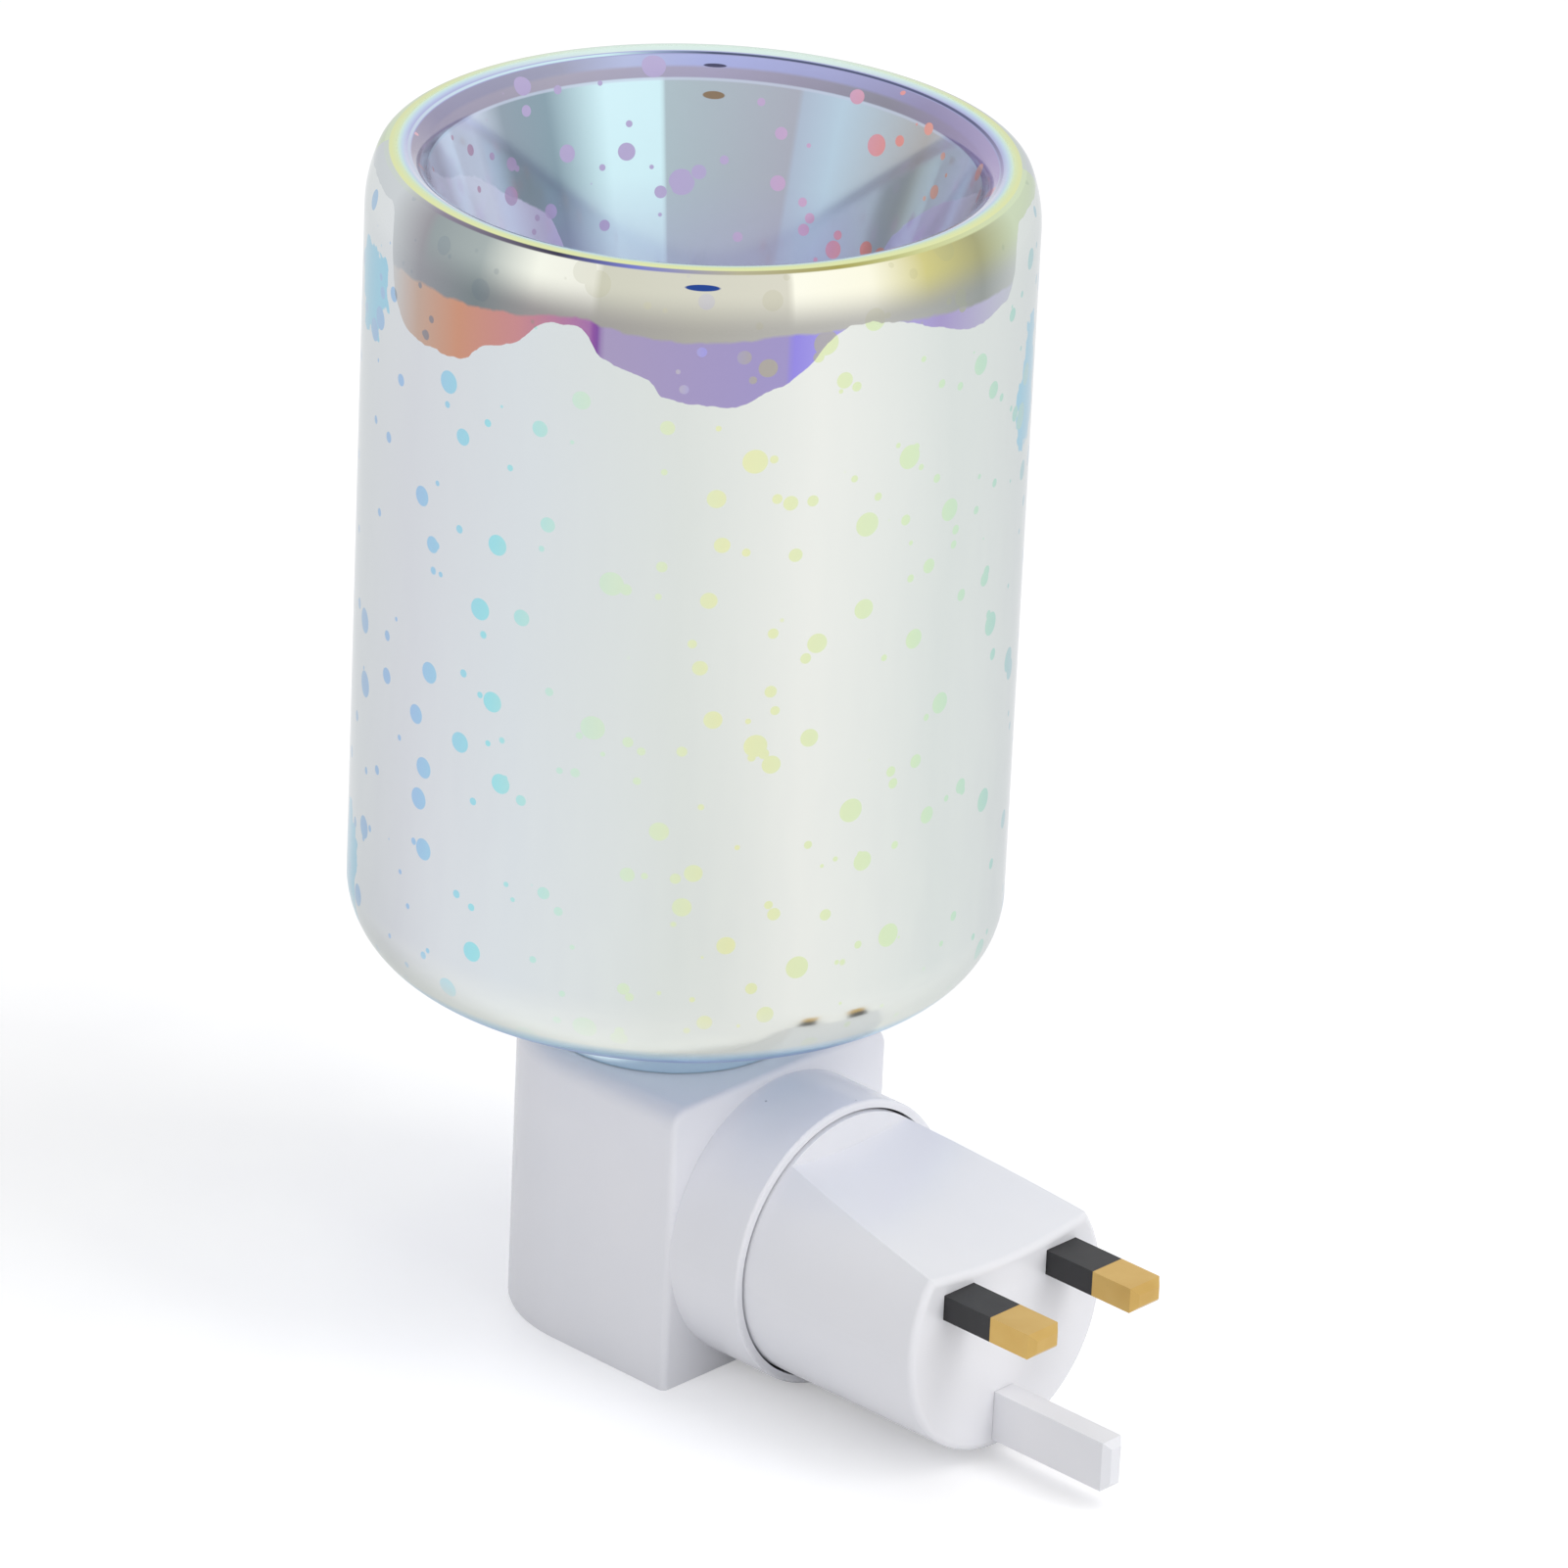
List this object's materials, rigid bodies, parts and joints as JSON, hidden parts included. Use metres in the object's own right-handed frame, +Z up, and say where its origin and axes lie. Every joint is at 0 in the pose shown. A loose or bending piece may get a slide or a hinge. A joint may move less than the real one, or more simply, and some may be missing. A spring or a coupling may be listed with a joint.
{
  "type": "wax melt warmer",
  "caption": "Plug-in wax melt warmer with a pearly mirrored glass shade, a wax bowl formed in its top, and a white swivel plug",
  "frame": {"origin": "centre of the plug's pin face, on the axis the plug turns about", "axes": "+X to the right of someone facing the wall socket from the room, +Y into the wall along the pins, +Z up"},
  "size_m": [0.099, 0.1436, 0.1864],
  "materials": {
    "coated_glass": "blown glass with a pearly mirror coat",
    "white_plastic": "glossy moulded white plastic",
    "holder_plastic": "heat-resistant moulded plastic",
    "silicone": "soft silicone",
    "brass": "stamped brass",
    "steel": "zinc-plated steel",
    "nickel": "drawn lamp cap metal",
    "black_glass": "black insulating glass",
    "clear_glass": "clear blown glass",
    "tungsten": "drawn wire",
    "brown_wire": "insulated wire",
    "blue_wire": "insulated wire",
    "black_plastic": "moulded pin sleeve"
  },
  "bodies": {
    "base": {"base_housing": "white_plastic", "bottom_cover": "white_plastic", "cover_screws": "steel", "grip_ring": "silicone", "lamp_holder": "holder_plastic", "holder_shell": "brass", "centre_contact": "brass", "lamp_cap": "nickel", "cap_insulator": "black_glass", "cap_contact": "nickel", "lamp_envelope": "clear_glass", "lamp_stem": "clear_glass", "lamp_filament": "tungsten", "switch_body": "white_plastic", "switch_terminals": "brass", "live_brush": "brass", "neutral_brush": "brass", "brush_rivets": "brass", "live_lead": "brown_wire", "switched_lead": "brown_wire", "neutral_lead": "blue_wire"},
    "plug": {"plug_shell": "white_plastic", "swivel_hub": "holder_plastic", "hub_screws": "steel", "contact_disc": "holder_plastic", "disc_screws": "steel", "contact_stud": "brass", "contact_ring": "brass", "live_link": "brown_wire", "neutral_link": "blue_wire", "live_pin": "brass", "neutral_pin": "brass", "pin_sleeves": "black_plastic", "earth_pin": "white_plastic"},
    "shade": {"glass_shade": "coated_glass"},
    "rocker": {"switch_rocker": "white_plastic"}
  },
  "joints": [
    {"name": "plug_swivel", "type": "hinge", "parent": "base", "child": "plug", "pos_m": [0, -0.049, 0], "axis": [0, 1, 0], "continuous": true},
    {"name": "shade_lift", "type": "slide", "parent": "base", "child": "shade", "axis": [0, 0, 1], "range_m": [0, 0.07]},
    {"name": "switch_rock", "type": "hinge", "parent": "base", "child": "rocker", "pos_m": [-0.02265, -0.0585, 0], "axis": [0, -1, 0], "range_deg": [0, 20]}
  ]
}
